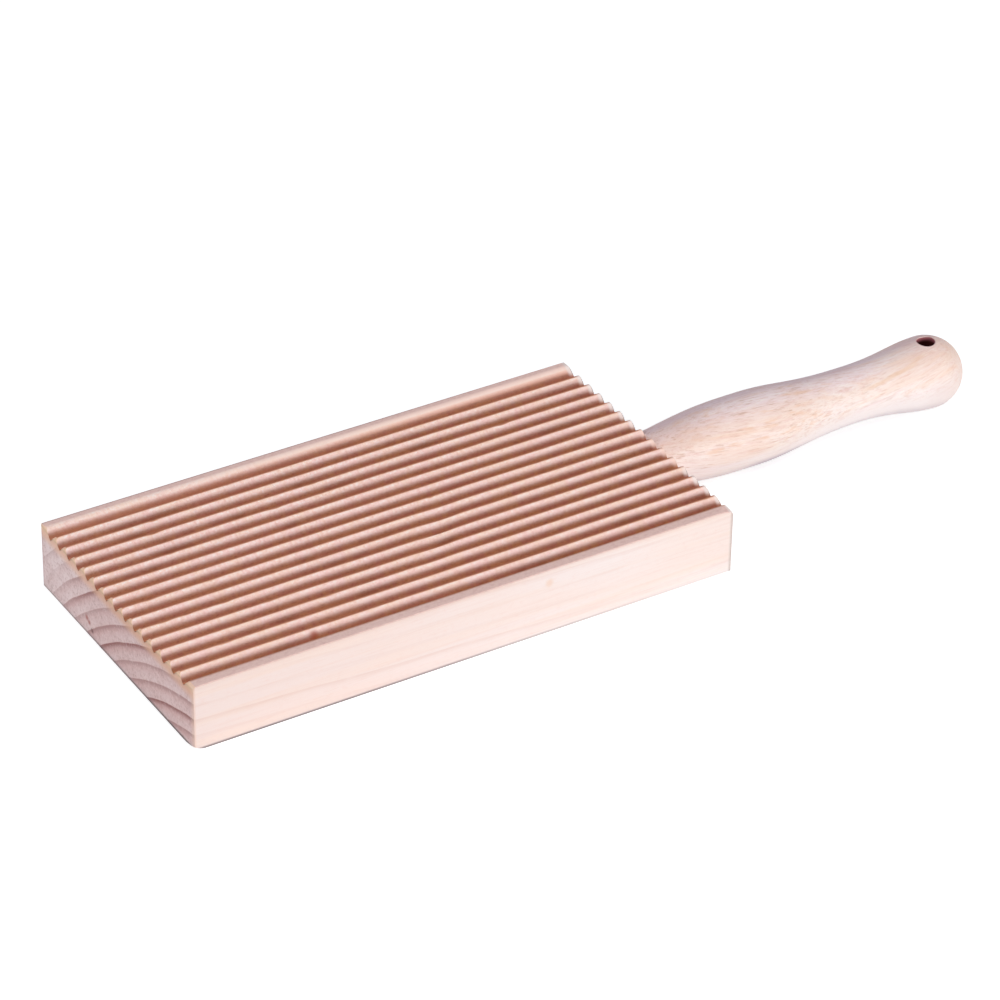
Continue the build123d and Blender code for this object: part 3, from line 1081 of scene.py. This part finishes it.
def handle_finish():
    """Pale turned hardwood, warmest along its upper front, with soft brown pores, painted light below and
    painted shade on its top, far side, underside and hanging hole.
    """
    finish = Finish("turned_hardwood")
    x, y, z = finish.parts(finish.place)
    ahead, aside, up = finish.facing()
    reach = x - JOINT
    above_axis = z - AXIS_Z / MM
    grain = handle_grain(finish, x, y, z, reach)

    belly = 0.2 + 0.8 * reach.ease(84, 50)
    root_end = reach.ease(26, 6)
    by_place = (1 - 0.75 * reach.band(*PALE_NECK)) * (1 - 0.5 * root_end)
    # Orange grain streaks laid only on the upper flanks: partly the wood's streaks, partly painted warm
    # light where the lamps fall
    warm = up.band(0.05, 0.65, 0.82, 1.0) * by_place * (0.12 + 0.42 * grain.streak)
    # Painted light: the underside is painted paler in place of light bounced up from the floor, most
    # towards the bulb
    under = up.ease(0.15, -0.45) * (0.5 + 0.5 * reach.ease(45, 75))
    low_belly = up.band(-0.3, -0.05, 0.2, 0.4) * reach.band(*LOW_BELLY)
    shaded = up.ease(-0.35, -0.7) * (0.35 + 0.6 * reach.band(*SHADED_UNDERSIDE))
    stripe = orange_stripe(grain, reach, above_axis)
    from_hole = ((x - HOLE_X / MM) ** 2 + y * y).root()
    surface = (BULB_RADIUS + float(handle_bend(HOLE_X))) / MM
    sunk = surface - (y * y + above_axis * above_axis).root()
    # Painted shade: the hanging hole's wall is painted darker the deeper it goes, down to near black
    inside = sunk.ease(0.2, 0.5) * from_hole.ease(HOLE + HOLE_RIM_EASE / MM, HOLE)
    wall = finish.mix(sunk.ease(0.5, 2.4), (176, 104, 112), (66, 18, 14))
    colour = finish.layered(
        grained_colour(finish, grain, reach, up, belly),
        (warm, (240, 202, 180)),
        # Painted light: paler on the lower side of the root, in place of bounced light
        (root_end * up.ease(0.5, 0.1) * 0.5, (253, 238, 234)),
        # Browner on top near the root: partly the wood's brown streaks, partly painted shade beside the
        # plank's end
        (reach.ease(30, 8) * up.ease(0.45, 0.75) * 0.36, (214, 172, 154)),
        # Painted shade: the far-facing side is tinted grey-mauve, as it faces away from the lamps
        (aside.band(-0.1, 0.3, 0.8, 1.0) * 0.5, (226, 200, 212)),
        (grain.pores * (0.15 + 0.85 * grain.patch) * belly * 0.6, (198, 148, 114)),
        (under * 0.9, (251, 241, 239)),
        (low_belly * 0.25, (248, 208, 186)),
        # Painted light: paler on the lower side of the bulb, in place of bounced light
        (up.ease(0.45, 0.1) * reach.ease(104, 114) * 0.35, (240, 220, 214)),
        (shaded, (192, 178, 186)),
        (stripe * (0.15 + 0.5 * grain.streak), (236, 190, 146)),
        (reach.ease(112, 125) * 0.25, (246, 216, 198)),
        (ahead.size().ease(0.75, 1.0) * 0.2, (240, 212, 202)),
        # Painted shade round the hanging hole's upper rim
        (from_hole.ease(HOLE + 0.55, HOLE + 0.15) * up.ease(0.4, 0.7) * 0.35, (196, 150, 154)),
        (inside, wall),
    )

    height = grain.fibre * 0.4 - grain.pores * grain.patch
    finish.set(Base_Color=colour, Roughness=0.5 + 0.12 * grain.fibre)
    finish.set(Normal=finish.bump(height, 0.04 * MM, 0.6), Specular_IOR_Level=WOOD_GLOSS)
    return finish.material


def dowel_finish():
    """Bare beech with short dark flecks along its length."""
    finish = Finish("fluted_beech")
    streak = finish.noise((0.03, 0.6, 0.6), 2)
    fleck = finish.noise((0.35, 3.0, 3.0), 1).ease(0.6, 0.68)
    colour = finish.layered(
        (226, 190, 150),
        (streak.ease(0.3, 0.7), (212, 172, 132)),
        (fleck * 0.5, (160, 112, 76)),
    )
    finish.set(Base_Color=colour, Roughness=0.55 + 0.15 * streak)
    finish.set(Normal=finish.bump(fleck, -0.03 * MM, 0.5))
    return finish.material


plank.data.materials.append(plank_finish())
handle.data.materials.append(handle_finish())
dowel = frame["nodes"]["joint_dowel"]
dowel.data.materials.clear()
dowel.data.materials.append(dowel_finish())

for piece, node, slot in ((plank, "ridged_board", "board_wood"), (handle, "handle", "handle_wood")):
    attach(piece, ROOT)
    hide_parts(node)


# Floor, background and light


SEEN_RAYS = ("Is Camera Ray", "Is Glossy Ray", "Is Transmission Ray")


def seen_directly(finish):
    """1 for what the camera sees, straight or through gloss and glass."""
    path = finish.node("ShaderNodeLightPath")
    outputs = path.socket.node.outputs
    camera, glossy, clear = [Value(finish, outputs[name]) for name in SEEN_RAYS]
    return camera.high(glossy).high(clear)


FLOOR_REACH = 3.0
FLOOR_GLOW = 0.72
FLOOR_SHADE = (0.66, 0.66, 0.66, 1)
FLOOR_COLOUR = (0.88, 0.88, 0.88, 1)


def floor_finish():
    """White where the camera sees it lit, with the object's shadow kept, and pale to all other light."""
    finish = Finish("pale_floor")
    output = finish.tree.nodes["Material Output"]
    finish.tree.nodes.remove(finish.shader)
    glow = finish.node("ShaderNodeEmission", sockets={"Color": (1, 1, 1, 1), "Strength": FLOOR_GLOW})
    shade = finish.node("ShaderNodeBsdfDiffuse", sockets={"Color": FLOOR_SHADE})
    seen = finish.node("ShaderNodeAddShader", sockets={0: glow, 1: shade})
    plain = finish.node("ShaderNodeBsdfDiffuse", sockets={"Color": FLOOR_COLOUR})
    both = finish.node("ShaderNodeMixShader", sockets={0: seen_directly(finish), 1: plain, 2: seen})
    finish.fill(output.inputs["Surface"], both)
    return finish.material


FLOOR_CORNERS = [(x * FLOOR_REACH, y * FLOOR_REACH, 0) for x, y in ((-1, -1), (1, -1), (1, 1), (-1, 1))]
floor_mesh = bpy.data.meshes.new("floor")
floor_mesh.from_pydata(FLOOR_CORNERS, [], [(0, 1, 2, 3)])
floor = add_object("floor", floor_mesh)
floor.data.materials.append(floor_finish())

AMBIENT = 0.24


class Sky(Finish):
    """The world: white to the camera and a soft even light to everything else."""

    def __init__(self):
        world = bpy.data.worlds.new("white_room")
        world.use_nodes = True
        bpy.context.scene.world = world
        self.tree = world.node_tree
        self.tree.nodes.clear()
        lit, white = (
            self.node("ShaderNodeBackground", sockets={"Color": (*colour, 1), "Strength": strength})
            for colour, strength in (((0.88, 0.92, 1.0), AMBIENT), ((1, 1, 1), 1.0))
        )
        both = self.node("ShaderNodeMixShader", sockets={0: seen_directly(self), 1: lit, 2: white})
        self.node("ShaderNodeOutputWorld", sockets={"Surface": both})


def add_softbox(name, place, aim, width, height, watts, colour):
    """A large soft lamp at a place, aimed at another."""
    data = bpy.data.lights.new(name, "AREA")
    data.shape = "RECTANGLE"
    data.size = width
    data.size_y = height
    data.energy = watts
    data.color = colour
    lamp = add_object(name, data)
    lamp.location = place
    lamp.rotation_euler = (Vector(aim) - Vector(place)).to_track_quat("-Z", "Y").to_euler()
    lamp.visible_camera = False


Sky()
add_softbox("front_softbox", (0.55, -1.75, 0.42), (0, 0, 0.02), 1.6, 0.5, 20.3, (1.0, 0.98, 0.965))
add_softbox("top_softbox", (0.1, -0.5, 1.6), (0, 0, 0), 1.4, 1.4, 8.3, (0.98, 0.97, 1.0))
add_softbox("left_softbox", (-1.7, -0.2, 0.7), (0, 0, 0), 1.0, 1.0, 10.2, (0.97, 0.98, 1.0))


# Camera at the photograph's viewing angle

AZIMUTH = math.radians(-31.7815)
ELEVATION = math.radians(33.5728)
ROLL = math.radians(1.0990)
DISTANCE = 7.39334 * PLANK_LENGTH
CAMERA_ACROSS = -0.61139 * PLANK_LENGTH
CAMERA_UP = -0.26465 * PLANK_LENGTH
CAMERA_LENS = 166.785
SENSOR_WIDTH = 36
HALF_PIXEL = 0.0005


def add_camera():
    """A long-lens camera that looks down on the plank from its near left."""
    flat = math.cos(ELEVATION)
    heading = (math.sin(AZIMUTH) * flat, -math.cos(AZIMUTH) * flat)
    back = Vector((*heading, math.sin(ELEVATION)))
    level = Vector((0, 0, 1)).cross(back).normalized()
    upright = back.cross(level)
    right = math.cos(ROLL) * level + math.sin(ROLL) * upright
    up = -math.sin(ROLL) * level + math.cos(ROLL) * upright
    place = back * DISTANCE - right * CAMERA_ACROSS - up * CAMERA_UP + Vector((LEFT_X, 0, 0))
    turn = Matrix((right, up, back)).transposed()
    data = bpy.data.cameras.new("camera")
    data.lens = CAMERA_LENS
    data.sensor_width = SENSOR_WIDTH
    data.shift_x = -HALF_PIXEL
    data.shift_y = HALF_PIXEL
    camera = add_object("camera", data)
    camera.matrix_world = Matrix.Translation(place) @ turn.to_4x4()
    bpy.context.scene.camera = camera


add_camera()
bpy.context.scene.view_settings.view_transform = "Standard"
